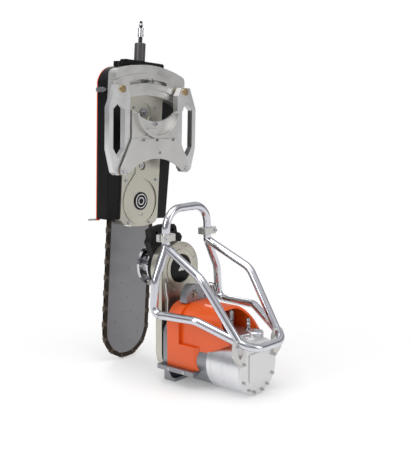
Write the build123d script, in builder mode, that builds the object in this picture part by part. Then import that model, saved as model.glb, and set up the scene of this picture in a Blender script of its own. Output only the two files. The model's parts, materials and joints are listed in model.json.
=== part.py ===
"""Concrete chain saw in two parts: a drive unit in a tube frame, and the chain cutting head it drives.

Millimetres. +X is the travel direction along the rail, +Y points from the motor towards the
cutting side, +Z is up. The origin is the middle of the sole of the rail jaw, on the floor.
"""
import os
from math import atan2, cos, degrees, hypot, pi, radians, sin, tan

from build123d import *

os.makedirs("parts", exist_ok=True)

# ---------------------------------------------------------------- driving dimensions
gap = 0.3                     # clearance between pieces that must not touch
run_clearance = 0.05          # radial clearance of a running shaft

# motor, lying along Y with its belly on the floor
motor_r = 86.5
motor_wall = 7.0
motor_z = motor_r
motor_front_y = -272.0
motor_back_y = -151.0
ring_back_y = -62.0           # back of the grey joint ring
ring_r = 84.5
cap_thickness = 7.0
cap_chamfer = 2.5
rotor_r = 52.0
rotor_length = 84.0
stator_wall = 17.0
shaft_r = 12.0

# orange gear housing
house_half_w = 90.0
house_bottom_z = 57.3
house_top_z = 247.0
house_corner_r = 62.0
house_back_y = 3.0
house_step_y = -45.0          # where the wide back part steps in
house_foot_y = -119.0         # front of the low side blocks
foot_chamfer = 14.0
house_foot_z = 128.0
nose_half_w = 79.0
nose_top_y = -156.0
nose_tip_y = -235.0
nose_tip_z = 156.0
house_wall = 4.0
pocket_wall = 9.0
pocket_back_y = -100.0
plate_front_y = house_back_y
plate_thickness = 21.0

# carriage on the rail
shoe_half_w = 108.0
shoe_front_y = -113.0
shoe_back_y = 29.0
shoe_top_z = 57.0
shoe_thickness = 14.0
jaw_half_w = 78.0
jaw_front_y = -16.0
jaw_back_y = 29.5
pinion_teeth = 14
pinion_module = 2.5
pinion_bore_r = 6.0

# tube frame
tube_r = 12.5
tube_wall = 2.5
leg_x = 94.0
hoop_top_z = 533.0
junction_z = 421.0
knee_x = 141.0
knee_z = 328.0
corner_x = 148.6
corner_z = 225.0
side_bend = (135.7, -155.0, 227.0)
ring_front = (75.0, -320.0, 158.0)
brace_knee = (112.6, -156.7, 345.7)
brace_foot = (98.0, -276.0, 186.0)
clamp_z = 449.5

# swinging arm: gear case from the motor axis up to the saw spindle
arm_front_y = 30.3
arm_back_y = 60.0
arm_foot_r = 86.0
hub_r = 83.0
hub_back_y = 80.0
boss_r = 54.0
boss_back_y = 108.0
arm_wall = 6.0
lid_thickness = 5.0
quill_r = 40.0
quill_bore_r = 26.0
quill_front_y = 6.0
gear_module = 3.0
gear_width = 12.0
input_teeth = 32
idler_teeth = 49
output_teeth = 38
axle_r = 10.0
spindle_r = 15.0
flange_outer_r = 70.0
flange_inner_r = 60.0
flange_outer_y = 150.0
flange_inner_y = 120.0

# chain cutting head, leaning on its nose
head_lean = 4.7
nose_x = 8.6
bar_y = 290.0
bar_thickness = 6.0
chain_pitch = 25.8
sprocket_teeth = 23
chain_links_total = 56
chain_half_h = 7.0
chain_plate = 2.0
cutter_thickness = 4.4
rivet_r = 2.6
segment_height = 9.3
segment_length = 18.0
segment_width = 9.6
guard_front_y = 254.0
guard_back_y = 304.0
guard_bottom_v = 366.0
guard_half_w_bottom = 136.0
guard_half_w_top = 155.0
guard_shoulder_v = 800.0
guard_crown_v = 862.0
guard_wall = 4.0
back_plate_thickness = 3.5
case_half_w = 85.0
case_bottom_v = 342.0
case_top_v = 800.0
case_front_y = 248.0
case_back_y = 281.0
case_wall = 5.0
bolt_well_v = 542.0
head_gear_teeth = 30
head_idler_teeth = 33
frame_front_y = 219.0
frame_half_w = 157.0

# bracket that carries the head on the arm's hub, turned about the sprocket axis
bracket_tilt = 2.8
band_inner_r = 364.0
band_outer_r = 411.0
arch_inner_r = 343.0
arch_outer_r = 439.0
band_front_y = 213.0
band_back_y = 233.0
band_half_w = 150.0
pin_across = 141.5
pin_up = 358.0
lug_up = 106.0
cradle_up = 306.0
cradle_r = 90.0
cradle_wall = 9.0
handle_front_y = 185.0
handle_back_y = 206.0

# ---------------------------------------------------------------- worked-out sizes
chain_r = chain_pitch / (2 * sin(pi / sprocket_teeth))
link_mid_r = chain_r * cos(pi / sprocket_teeth)
bar_half_w = link_mid_r - chain_half_h - gap
chain_outer_r = hypot(link_mid_r + segment_height, segment_length / 2)
nose_z = chain_outer_r + gap
sprocket_v = (chain_links_total - sprocket_teeth) / 2 * chain_pitch
arm_length = gear_module * (input_teeth + 2 * idler_teeth + output_teeth) / 2
hub_z = motor_z + arm_length
idler_z = motor_z + gear_module * (input_teeth + idler_teeth) / 2
front_y = motor_front_y - cap_thickness
half_tooth_gear = 180 / head_gear_teeth
half_tooth_idler = 180 / head_idler_teeth
sprocket_gear_turn = 90.0
lower_idler_turn = -90 + half_tooth_idler
upper_idler_turn = -90 + half_tooth_idler
input_turn = -90 + half_tooth_gear
plate_back_y = plate_front_y + plate_thickness
band_mid_r = (band_inner_r + band_outer_r) / 2
lid_back_y = arm_front_y + lid_thickness
cavity_back_y = arm_back_y - arm_wall


# ---------------------------------------------------------------- helpers
def front_plane(y, x=0.0, z=0.0):
    """Drawing plane that faces -Y, with its up direction along +Z."""
    return Plane(origin=(x, y, z), x_dir=(1, 0, 0), z_dir=(0, -1, 0))


def leaning_plane(y, lean, v=0.0, u=0.0, tilt=0.0):
    """Plane facing -Y, leaning by `lean` about Y, moved (u, v) in the head, then turned by `tilt`."""
    a = radians(head_lean)
    x = nose_x + u * cos(a) + v * sin(a)
    z = nose_z - u * sin(a) + v * cos(a)
    b = radians(lean - tilt)
    return Plane(origin=(x, y, z), x_dir=(cos(b), 0, -sin(b)), z_dir=(0, -1, 0))


def head_plane(y, v=0.0, u=0.0):
    """Plane across the head at depth y, up along the bar."""
    return leaning_plane(y, head_lean, v, u)


def bracket_plane(y):
    """Plane across the bracket at depth y, centred on the sprocket axis."""
    return leaning_plane(y, head_lean, sprocket_v, 0.0, bracket_tilt)


def up_plane(v, y, u=0.0):
    """Plane that looks up along the bar, v above the nose centre."""
    base = head_plane(y, v, u)
    return Plane(origin=base.origin, x_dir=base.x_dir, z_dir=base.y_dir)


def bend_points(points, radii):
    """Start, middle and end of each bend of a bent tube whose corners are `points`."""
    bends = []
    for before, corner, after, radius in zip(points, points[1:], points[2:], radii):
        a = (Vector(*before) - Vector(*corner)).normalized()
        b = (Vector(*after) - Vector(*corner)).normalized()
        half = radians(a.get_angle(b)) / 2
        reach = radius / tan(half)
        start = Vector(*corner) + a * reach
        end = Vector(*corner) + b * reach
        middle = Vector(*corner) + (a + b).normalized() * (radius / sin(half) - radius)
        bends.append((start, middle, end))
    return bends


def draw_bent_line(points, radii):
    """Straight runs joined by arcs, drawn into the open BuildLine."""
    last = Vector(*points[0])
    for start, middle, end in bend_points(points, radii):
        Line(last, start)
        ThreePointArc(start, middle, end)
        last = end
    Line(last, Vector(*points[-1]))


def mirrored(point):
    """The same point on the other side of the middle plane."""
    return (-point[0], point[1], point[2])


def gear_outline(teeth, module, addendum=1.0, dedendum=1.25, thickness=0.42):
    """Corners of a straight-flanked gear: tooth thickness is a share of the pitch at mid height."""
    pitch_r = teeth * module / 2
    corners = []
    for i in range(teeth):
        centre = 2 * pi * i / teeth
        for share, r in ((-0.66, pitch_r - dedendum * module), (-0.5, pitch_r),
                         (-0.27, pitch_r + addendum * module), (0.27, pitch_r + addendum * module),
                         (0.5, pitch_r), (0.66, pitch_r - dedendum * module)):
            angle = centre + share * 2 * pi / teeth * thickness
            corners.append((r * cos(angle), r * sin(angle)))
    return corners


def socket_bolt(spot, head_r, head_height):
    """Cap screw whose head stands on the plane, with a hexagon socket."""
    with BuildPart() as bolt:
        with BuildSketch(spot):
            Circle(head_r)
        extrude(amount=head_height)
        with BuildSketch(spot.offset(head_height)):
            RegularPolygon(head_r * 0.52, 6)
        extrude(amount=-head_height * 0.6, mode=Mode.SUBTRACT)
    return bolt.part


def save(builder, name):
    """Label one finished piece and write it to its own STEP file."""
    builder.part.label = name
    export_step(builder.part, "parts/" + name + ".step")


# ================================================================ DRIVE UNIT
# ---------------------------------------------------------------- motor
with BuildPart() as motor_case:
    with BuildSketch(front_plane(motor_back_y, 0, motor_z)):
        Circle(motor_r)
        Circle(motor_r - motor_wall, mode=Mode.SUBTRACT)
    extrude(amount=motor_back_y - motor_front_y)
    for groove_y in (-168.0, -212.0):
        with BuildSketch(front_plane(groove_y, 0, motor_z)):
            Circle(motor_r)
            Circle(motor_r - 0.6, mode=Mode.SUBTRACT)
        extrude(amount=1.2, mode=Mode.SUBTRACT)
save(motor_case, "motor_case")

with BuildPart() as motor_ring:
    with BuildSketch(front_plane(ring_back_y, 0, motor_z)):
        Circle(ring_r)
        Circle(shaft_r + run_clearance, mode=Mode.SUBTRACT)
    extrude(amount=ring_back_y - motor_back_y)
save(motor_ring, "motor_ring")

with BuildPart() as motor_end_cap:
    with BuildSketch(front_plane(motor_front_y, 0, motor_z)):
        Circle(motor_r)
    extrude(amount=cap_thickness)
    chamfer(motor_end_cap.edges().filter_by(GeomType.CIRCLE).sort_by(Axis.Y)[0], cap_chamfer)
    with BuildSketch(front_plane(motor_front_y, 0, motor_z)):
        Circle(shaft_r + 0.3)
    extrude(amount=4.0, mode=Mode.SUBTRACT)
save(motor_end_cap, "motor_end_cap")

label_half_w = 44.0
label_bottom_z = 44.0
label_top_z = 129.0
with BuildPart() as rating_plate:
    with BuildSketch(front_plane(front_y, 0, (label_bottom_z + label_top_z) / 2)):
        RectangleRounded(2 * label_half_w, label_top_z - label_bottom_z, 6)
    extrude(amount=2.2)
save(rating_plate, "rating_plate")

cap_bolt_r = 77.0
cap_bolt_angles = (208, 236, 256, 284, 304, 332)
unit_bolts = []
for angle in cap_bolt_angles:
    turn = radians(angle)
    spot = front_plane(front_y, cap_bolt_r * cos(turn), motor_z + cap_bolt_r * sin(turn))
    unit_bolts.append(socket_bolt(spot, 5.0, 4.5))

stator_mid_y = (motor_front_y + motor_back_y) / 2
with BuildPart() as stator:
    with BuildSketch(front_plane(stator_mid_y + rotor_length / 2, 0, motor_z)):
        Circle(motor_r - motor_wall)
        Circle(motor_r - motor_wall - stator_wall, mode=Mode.SUBTRACT)
    extrude(amount=rotor_length)
save(stator, "stator")

shaft_front_y = motor_front_y - 3.5
shaft_back_y = 0.0
with BuildPart() as rotor:
    with BuildSketch(front_plane(stator_mid_y + rotor_length / 2, 0, motor_z)):
        Circle(rotor_r)
    extrude(amount=rotor_length)
    with BuildSketch(front_plane(shaft_back_y, 0, motor_z)):
        Circle(shaft_r)
    extrude(amount=shaft_back_y - shaft_front_y)
save(rotor, "rotor")

# ---------------------------------------------------------------- orange housing
def housing_section(y, half_w, bottom, inset=0.0):
    """Section of the housing across Y: flat bottom, straight sides and large round top corners."""
    w = half_w - inset
    top = house_top_z - inset
    corner = house_corner_r - inset
    with BuildSketch(front_plane(y)) as section:
        with BuildLine():
            Polyline((-w, top - corner), (-w, bottom), (w, bottom), (w, top - corner))
            RadiusArc((w, top - corner), (w - corner, top), -corner)
            Line((w - corner, top), (corner - w, top))
            RadiusArc((corner - w, top), (-w, top - corner), -corner)
        make_face()
    return section.sketch


def foot_section(y, inset=0.0):
    """Section of the low blocks beside the motor."""
    w = house_half_w - inset
    with BuildSketch(front_plane(y)) as section:
        with Locations((0, (house_bottom_z + house_foot_z) / 2)):
            Rectangle(2 * w, house_foot_z - house_bottom_z - 2 * inset)
    return section.sketch


nose_bottom_z = house_bottom_z + 41
rear_hollow_y = house_step_y + house_wall
skirt_y = house_foot_y - 48
skirt_z = nose_bottom_z + 27
with BuildPart() as housing_cover:
    extrude(to_extrude=housing_section(house_back_y, house_half_w, house_bottom_z),
            amount=house_back_y - house_step_y)
    extrude(to_extrude=foot_section(house_step_y), amount=house_step_y - house_foot_y)
    foot_corners = housing_cover.edges().filter_by(Axis.Z).group_by(Axis.Y)[0]
    chamfer(foot_corners, foot_chamfer, foot_chamfer - 4)
    extrude(to_extrude=housing_section(house_step_y, nose_half_w, nose_bottom_z),
            amount=house_step_y - nose_tip_y)
    # slanted mouth of the hood, and the skirt that rises along the motor
    with BuildSketch(Plane.YZ.offset(-2 * house_half_w)):
        Polygon((nose_top_y, house_top_z + 10), (nose_tip_y, nose_tip_z), (skirt_y, skirt_z),
                (house_foot_y - 3, nose_bottom_z + 3), (house_foot_y - 3, house_bottom_z - 20),
                (nose_tip_y - 80, house_bottom_z - 20), (nose_tip_y - 80, house_top_z + 10), align=None)
    extrude(amount=4 * house_half_w, mode=Mode.SUBTRACT)
    # hollow over the gearbox, up to the pocket's back wall
    extrude(to_extrude=housing_section(house_back_y, house_half_w, house_bottom_z + house_wall, house_wall),
            amount=house_back_y - rear_hollow_y, mode=Mode.SUBTRACT)
    extrude(to_extrude=foot_section(rear_hollow_y, house_wall),
            amount=rear_hollow_y - house_foot_y - foot_chamfer - house_wall, mode=Mode.SUBTRACT)
    extrude(to_extrude=housing_section(rear_hollow_y, nose_half_w, nose_bottom_z, house_wall),
            amount=rear_hollow_y - pocket_back_y - house_wall, mode=Mode.SUBTRACT)
    # pocket that opens through the mouth
    extrude(to_extrude=housing_section(pocket_back_y, nose_half_w, nose_bottom_z, pocket_wall),
            amount=pocket_back_y - nose_tip_y + 1, mode=Mode.SUBTRACT)
    for y, r in ((ring_back_y + gap, ring_r + gap), (motor_back_y + gap, motor_r + gap)):
        with BuildSketch(front_plane(y, 0, motor_z)):
            Circle(r)
        extrude(amount=200, mode=Mode.SUBTRACT)
save(housing_cover, "housing_cover")

# gearbox: back plate, block behind the motor and the quill that the arm turns on
core_half_w = 65.0
core_half_h = 52.5
core_z = motor_z + 30.0
with BuildPart() as gearbox:
    with BuildSketch(front_plane(plate_back_y)):
        with BuildLine():
            side = house_half_w - 4
            low = house_bottom_z
            high = house_top_z - 34
            Polyline((-side, high - 60), (-side, low), (side, low), (side, high - 60))
            ThreePointArc((side, high - 60), (0, high), (-side, high - 60))
        make_face()
    extrude(amount=plate_thickness)
    with BuildSketch(front_plane(plate_front_y, 0, core_z)):
        Rectangle(2 * core_half_w, 2 * core_half_h)
    extrude(amount=plate_front_y - ring_back_y)
    with BuildSketch(front_plane(lid_back_y, 0, motor_z)):
        Circle(quill_r)
    extrude(amount=lid_back_y - plate_back_y)
    with BuildSketch(front_plane(lid_back_y, 0, motor_z)):
        Circle(shaft_r + run_clearance)
    extrude(amount=lid_back_y - ring_back_y, mode=Mode.SUBTRACT)
    with BuildSketch(front_plane(quill_front_y, 0, motor_z)):
        Circle(quill_bore_r)
    extrude(amount=quill_front_y - ring_back_y, mode=Mode.SUBTRACT)
save(gearbox, "gearbox")

# ---------------------------------------------------------------- carriage
pinion_centre = (0.0, -40.5)
pinion_face = 16.0
axle_head = 2.5
shoe_bottom_z = shoe_top_z - shoe_thickness
with BuildPart() as shoe_plate:
    with BuildSketch(Plane.XY.offset(shoe_bottom_z)):
        with Locations((0, (shoe_front_y + shoe_back_y) / 2)):
            Rectangle(2 * shoe_half_w, shoe_back_y - shoe_front_y)
        for end in (-1, 1):
            with Locations((end * 100.0, shoe_front_y - 2.5)):
                Rectangle(14, 5)
    extrude(amount=shoe_thickness)
    with BuildSketch(front_plane(ring_back_y + gap, 0, motor_z)):
        Circle(motor_r + 2)
    extrude(amount=ring_back_y - shoe_front_y + 20, mode=Mode.SUBTRACT)
    with BuildSketch(front_plane(shoe_back_y, 0, motor_z)):
        Circle(quill_r + gap)
    extrude(amount=shoe_back_y - plate_back_y + gap, mode=Mode.SUBTRACT)
    with BuildSketch(Plane.XY.offset(shoe_bottom_z)):
        with Locations(pinion_centre):
            Circle(pinion_bore_r - run_clearance)
    extrude(amount=-(pinion_face + 3))
    with BuildSketch(Plane.XY.offset(shoe_bottom_z - pinion_face - 3)):
        with Locations(pinion_centre):
            Circle(pinion_bore_r + 3)
    extrude(amount=-axle_head)
save(shoe_plate, "shoe_plate")

for end in (-1, 1):
    for y in (-80.0, -20.0):
        spot = Plane(origin=(end * shoe_half_w, y, shoe_top_z - shoe_thickness / 2), z_dir=(end, 0, 0))
        unit_bolts.append(socket_bolt(spot, 4.2, 1.8))

with BuildPart() as rail_jaw:
    with BuildSketch(Plane.YZ.offset(-jaw_half_w)):
        with BuildLine():
            Polyline((jaw_front_y, 0), (jaw_back_y, 0), (jaw_back_y, shoe_bottom_z),
                     (jaw_back_y - 14, shoe_bottom_z), (jaw_front_y + 14, 12),
                     (jaw_front_y, 12), close=True)
        make_face()
    extrude(amount=2 * jaw_half_w)
save(rail_jaw, "rail_jaw")

with BuildPart() as feed_pinion:
    with BuildSketch(Plane.XY.offset(shoe_bottom_z - 1.5 - pinion_face)):
        with Locations(pinion_centre):
            Polygon(*gear_outline(pinion_teeth, pinion_module), align=None)
            Circle(pinion_bore_r, mode=Mode.SUBTRACT)
    extrude(amount=pinion_face)
save(feed_pinion, "feed_pinion")

# ---------------------------------------------------------------- tube frame
def tube(points, radii, bore=tube_r - tube_wall):
    """Round tube bent along its corner points; bore 0 gives the filled form used for cutting."""
    with BuildPart() as bent:
        with BuildLine() as line:
            draw_bent_line(points, radii)
        with BuildSketch(Plane(origin=line.line @ 0, z_dir=line.line % 0)):
            Circle(tube_r)
            if bore:
                Circle(bore, mode=Mode.SUBTRACT)
        sweep(path=line.line)
    return bent.part


corner_run = 45.0
corner_dir = (Vector(*side_bend) - Vector(corner_x, 0, corner_z)).normalized()
ring_start = Vector(corner_x, 0, corner_z) + corner_dir * corner_run
hoop_half = [(leg_x, 0, hoop_top_z), (leg_x, 0, junction_z), (knee_x, 0, knee_z),
             (corner_x, 0, corner_z), tuple(ring_start)]
hoop_points = [mirrored(p) for p in reversed(hoop_half)] + hoop_half
hoop_radii = [24, 70, 70, 62, 62, 70, 70, 24]
with BuildPart() as frame_hoop:
    add(tube(hoop_points, hoop_radii))
save(frame_hoop, "frame_hoop")

ring_half = [ring_front, side_bend, tuple(ring_start)]
ring_points = [mirrored(p) for p in reversed(ring_half)] + ring_half
ring_radii = [42, 60, 60, 42]
with BuildPart() as frame_ring:
    add(tube(ring_points, ring_radii))
save(frame_ring, "frame_ring")

frame_filled = tube(hoop_points, hoop_radii, 0) + tube(ring_points, ring_radii, 0)
for side_name, sign in (("left", -1), ("right", 1)):
    brace_points = [(sign * p[0], p[1], p[2]) for p in ((leg_x, 0.0, junction_z), brace_knee, brace_foot)]
    with BuildPart() as frame_brace:
        add(tube(brace_points, [70]))
        add(frame_filled, mode=Mode.SUBTRACT)
    save(frame_brace, "frame_brace_" + side_name)

# split clamps on the hoop's legs
clamp_height = 22.0
clamp_depth = 34.0
clamp_reach = 52.0
clamp_slot = 4.0
with BuildPart() as hoop_clamps:
    for sign in (-1, 1):
        with BuildSketch(Plane.XY.offset(clamp_z - clamp_height / 2)):
            with Locations((sign * leg_x, 0)):
                RectangleRounded(clamp_reach, clamp_depth, 4)
                Circle(tube_r + run_clearance, mode=Mode.SUBTRACT)
            with Locations((sign * (leg_x + clamp_reach / 4 + 2), 0)):
                Rectangle(clamp_reach / 2, clamp_slot, mode=Mode.SUBTRACT)
        extrude(amount=clamp_height)
save(hoop_clamps, "hoop_clamps")

for sign in (-1, 1):
    spot = front_plane(-clamp_depth / 2, sign * (leg_x + 20), clamp_z)
    unit_bolts.append(socket_bolt(spot, 5.0, 4.0))

# cast hangers between the lower ring and the motor's end cap, with hexagonal windows
hanger_thickness = 13.0
hanger_y = motor_front_y
with BuildPart() as cap_hangers:
    for sign in (-1, 1):
        with BuildSketch(front_plane(hanger_y, 0, 0)):
            outline = [(98, 186), (112, 176), (114, 138), (98, 116), (76, 100), (66, 112), (66, 140),
                       (70, 166), (80, 184)]
            window = [(92, 168), (103, 158), (103, 140), (92, 126), (80, 136), (80, 156)]
            Polygon(*[(sign * x, z) for x, z in outline], align=None)
            Polygon(*[(sign * x, z) for x, z in window], align=None, mode=Mode.SUBTRACT)
        extrude(amount=hanger_thickness)
    add(tube(ring_points, ring_radii, 0), mode=Mode.SUBTRACT)
    add(motor_end_cap.part, mode=Mode.SUBTRACT)
    add(motor_case.part, mode=Mode.SUBTRACT)
save(cap_hangers, "cap_hangers")

for sign in (-1, 1):
    for x, z in ((72.0, 108.0), (106.0, 168.0)):
        spot = front_plane(hanger_y - hanger_thickness, sign * x, z)
        unit_bolts.append(socket_bolt(spot, 4.6, 4.0))

# ---------------------------------------------------------------- fittings in the hood
top_case_half_w = 52.0
top_case_back_y = -110.0
top_case_front_y = -238.0
top_case_z = 176.0
round_cap_x = 20.0
round_cap_y = -251.0
round_cap_r = 25.0
round_cap_z = 184.0
with BuildPart() as motor_top_case:
    with BuildSketch(Plane.XY.offset(motor_z + 40)):
        with Locations((4, (top_case_back_y + top_case_front_y) / 2)):
            RectangleRounded(2 * top_case_half_w, top_case_back_y - top_case_front_y, 10)
    extrude(amount=top_case_z - motor_z - 40)
    fillet(motor_top_case.edges().group_by(Axis.Z)[-1], 5)
    with BuildSketch(Plane.XY.offset(motor_z + 40)):
        with Locations((round_cap_x, round_cap_y)):
            Circle(round_cap_r)
    extrude(amount=round_cap_z - motor_z - 40)
    fillet(motor_top_case.edges().group_by(Axis.Z)[-1], 5)
    for y, r in ((0, ring_r), (motor_back_y, motor_r)):
        with BuildSketch(front_plane(y, 0, motor_z)):
            Circle(r)
        extrude(amount=400, mode=Mode.SUBTRACT)
save(motor_top_case, "motor_top_case")

spot = Plane(origin=(round_cap_x, round_cap_y, round_cap_z))
unit_bolts.append(socket_bolt(spot, 6.5, 5.0))
with BuildPart() as socket_bolts:
    add(unit_bolts)
save(socket_bolts, "socket_bolts")

coupling_x = 29.0
coupling_y = -148.0
coupling_z = 188.0
nipple_x = 36.0
nipple_y = -212.0
with BuildPart() as water_fittings:
    with BuildSketch(Plane.XZ.offset(-coupling_y)):
        with BuildLine():
            Polyline((coupling_x, top_case_z), (coupling_x + 12, top_case_z),
                     (coupling_x + 12, coupling_z + 8),
                     (coupling_x + 9.4, coupling_z + 10), (coupling_x + 9.4, coupling_z + 41),
                     (coupling_x + 5, coupling_z + 41), (coupling_x + 5, coupling_z + 20),
                     (coupling_x, coupling_z + 20), close=True)
        make_face()
    revolve(axis=Axis((coupling_x, coupling_y, 0), (0, 0, 1)))
    with BuildSketch(Plane.XZ.offset(-nipple_y)):
        with BuildLine():
            Polyline((nipple_x, top_case_z), (nipple_x + 9, top_case_z), (nipple_x + 9, top_case_z + 7),
                     (nipple_x + 5.5, top_case_z + 8), (nipple_x + 5.5, top_case_z + 16),
                     (nipple_x + 7.5, top_case_z + 17), (nipple_x + 7.5, top_case_z + 20),
                     (nipple_x + 5, top_case_z + 22), (nipple_x + 6.5, top_case_z + 31),
                     (nipple_x + 5, top_case_z + 35), (nipple_x, top_case_z + 35), close=True)
        make_face()
    revolve(axis=Axis((nipple_x, nipple_y, 0), (0, 0, 1)))
save(water_fittings, "water_fittings")

sleeve_bottom = coupling_z + 13.0
with BuildPart() as coupling_sleeve:
    with BuildSketch(Plane.XY.offset(sleeve_bottom)):
        with Locations((coupling_x, coupling_y)):
            Circle(13.5)
            Circle(9.4 + run_clearance, mode=Mode.SUBTRACT)
    extrude(amount=26)
    for rib in range(4):
        with BuildSketch(Plane.XY.offset(sleeve_bottom + 4 + 5 * rib)):
            with Locations((coupling_x, coupling_y)):
                Circle(15)
                Circle(12.2, mode=Mode.SUBTRACT)
        extrude(amount=2, mode=Mode.SUBTRACT)
save(coupling_sleeve, "coupling_sleeve")

# ---------------------------------------------------------------- power socket on the housing
socket_x = -14.0
socket_z = house_top_z
socket_front_y = -46.0
with BuildPart() as socket_box:
    with BuildSketch(front_plane(-18.0, socket_x, socket_z)):
        with BuildLine():
            Polyline((-40, 0), (42, 0), (42, 24), (24, 48), (-12, 54), (-34, 34), (-40, 16), close=True)
        make_face()
    extrude(amount=-18.0 - socket_front_y)
    with BuildSketch(front_plane(socket_front_y, socket_x - 6, socket_z + 25)):
        for spoke in range(6):
            with Locations(Rotation(0, 0, 60 * spoke)):
                with Locations((7.0, 0)):
                    Rectangle(14, 4.6)
        Circle(6)
    extrude(amount=-3, mode=Mode.SUBTRACT)
    with BuildSketch(front_plane(socket_front_y, socket_x - 6, socket_z + 25)):
        Circle(3 + run_clearance)
    extrude(amount=-14, mode=Mode.SUBTRACT)
    chamfer(socket_box.edges().filter_by(Axis.Y).group_by(Axis.Z)[-1], 3)

with BuildPart() as socket_key:
    with BuildSketch(front_plane(socket_front_y + 13.8, socket_x - 6, socket_z + 25)):
        Circle(3)
    extrude(amount=17)
    with BuildSketch(front_plane(socket_front_y, socket_x - 6, socket_z + 25)):
        with Locations((0, -6)):
            RectangleRounded(4, 17, 1.5)
    extrude(amount=3.2)
save(socket_key, "socket_key")

lever_x = 66.0
lever_z = house_top_z + 10
lever_pin_r = 5.0
ear_front_y = -26.0
barrel_front_y = -58.0
with BuildPart() as socket_mount:
    add(socket_box.part)
    with BuildSketch(front_plane(-18.0, lever_x, socket_z)):
        with BuildLine():
            Polyline((-13, 10), (-13, -6.5), (13, -27.5), (13, 10))
            RadiusArc((13, 10), (-13, 10), -13)
        make_face()
    extrude(amount=8)
    with BuildSketch(front_plane(ear_front_y, lever_x, lever_z)):
        Circle(lever_pin_r)
    extrude(amount=ear_front_y - barrel_front_y)
    add(housing_cover.part, mode=Mode.SUBTRACT)
save(socket_mount, "socket_mount")

with BuildPart() as latch_lever:
    with BuildSketch(front_plane(ear_front_y - gap, lever_x, lever_z)):
        Circle(11)
        Polygon((-10, 4), (10, 4), (18, 30), (5, 34), (0, 20), (-5, 34), (-18, 30), align=None)
        Circle(lever_pin_r + run_clearance, mode=Mode.SUBTRACT)
    extrude(amount=ear_front_y - barrel_front_y - 2 * gap)
save(latch_lever, "latch_lever")

# ================================================================ SWINGING ARM
def arm_outline(y, inset=0.0):
    """Outline of the arm: a foot around the motor axis, straight flanks and the hub above."""
    low_r = arm_foot_r - inset
    high_r = hub_r - inset
    with BuildSketch(front_plane(y, 0, motor_z)) as outline:
        Circle(low_r)
        with Locations((0, arm_length)):
            Circle(high_r)
        Polygon((-low_r, 0), (low_r, 0), (high_r, arm_length), (-high_r, arm_length), align=None)
    return outline.sketch


with BuildPart() as arm_case:
    extrude(to_extrude=arm_outline(arm_back_y), amount=arm_back_y - lid_back_y)
    fillet(arm_case.faces().sort_by(Axis.Y)[-1].edges(), 8)
    extrude(to_extrude=arm_outline(cavity_back_y, arm_wall), amount=cavity_back_y - lid_back_y,
            mode=Mode.SUBTRACT)
    with BuildSketch(front_plane(hub_back_y, 0, hub_z)):
        Circle(hub_r - 3)
    extrude(amount=hub_back_y - arm_back_y)
    with BuildSketch(front_plane(boss_back_y, 0, hub_z)):
        Circle(boss_r)
    extrude(amount=boss_back_y - arm_back_y)
    with BuildSketch(front_plane(boss_back_y, 0, hub_z)):
        Circle(spindle_r + run_clearance)
    extrude(amount=boss_back_y - cavity_back_y, mode=Mode.SUBTRACT)
    with BuildSketch(front_plane(cavity_back_y, 0, idler_z)):
        Circle(axle_r)
    extrude(amount=cavity_back_y - lid_back_y)
save(arm_case, "arm_case")

with BuildPart() as arm_lid:
    extrude(to_extrude=arm_outline(lid_back_y), amount=lid_thickness)
    for outer_r, inner_r, height in ((hub_r - 4, 62.0, 1.6), (60.0, 47.0, 3.0)):
        with BuildSketch(front_plane(arm_front_y, 0, hub_z)):
            Circle(outer_r)
            Circle(inner_r, mode=Mode.SUBTRACT)
        extrude(amount=height)
    with BuildSketch(front_plane(lid_back_y, 0, motor_z)):
        Circle(quill_r + run_clearance)
    extrude(amount=lid_thickness, mode=Mode.SUBTRACT)
save(arm_lid, "arm_lid")

lid_screw_r = 71.0
with BuildPart() as lid_screws:
    for i in range(8):
        turn = radians(22.5 + 45 * i)
        spot = front_plane(arm_front_y - 1.6, lid_screw_r * cos(turn), hub_z + lid_screw_r * sin(turn))
        with BuildSketch(spot):
            Circle(3.6)
        extrude(amount=1.8)
        with BuildSketch(spot.offset(1.8)):
            RegularPolygon(1.9, 6)
        extrude(amount=-1.2, mode=Mode.SUBTRACT)
save(lid_screws, "lid_screws")

hub_cap_r = 44.5
with BuildPart() as hub_cap:
    with BuildSketch(front_plane(arm_front_y, 0, hub_z)):
        Circle(hub_cap_r)
    extrude(amount=4.2)
    chamfer(hub_cap.edges().sort_by(Axis.Y)[0], 1.0)
save(hub_cap, "hub_cap")

# gear train of the arm: input gear on the motor axis, one idler, output gear on the spindle
gear_back_y = cavity_back_y - 1.0


def gear(teeth, z, turn, bore):
    """One straight-cut gear of the arm's train, centred on height z and turned into mesh."""
    with BuildPart() as wheel:
        with BuildSketch(front_plane(gear_back_y, 0, z)):
            with Locations(Rotation(0, 0, turn)):
                Polygon(*gear_outline(teeth, gear_module), align=None)
            if bore:
                Circle(bore, mode=Mode.SUBTRACT)
        extrude(amount=gear_width)
    return wheel.part


with BuildPart() as input_gear:
    add(gear(input_teeth, motor_z, 0.0, 0))
    with BuildSketch(front_plane(gear_back_y, 0, motor_z)):
        Circle(shaft_r)
    extrude(amount=gear_back_y - quill_front_y - 1)
save(input_gear, "input_gear")

with BuildPart() as idler_gear:
    add(gear(idler_teeth, idler_z, -90 + 180 / idler_teeth, axle_r + run_clearance))
save(idler_gear, "idler_gear")

spindle_end_y = flange_outer_y + 18.0
with BuildPart() as spindle:
    with BuildSketch(front_plane(spindle_end_y, 0, hub_z)):
        Circle(spindle_r)
    extrude(amount=spindle_end_y - lid_back_y - 1)
    chamfer(spindle.edges().sort_by(Axis.Y)[-1], 1.5)
    add(gear(output_teeth, hub_z, -90 + 180 / output_teeth, 0))
save(spindle, "spindle")

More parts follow.
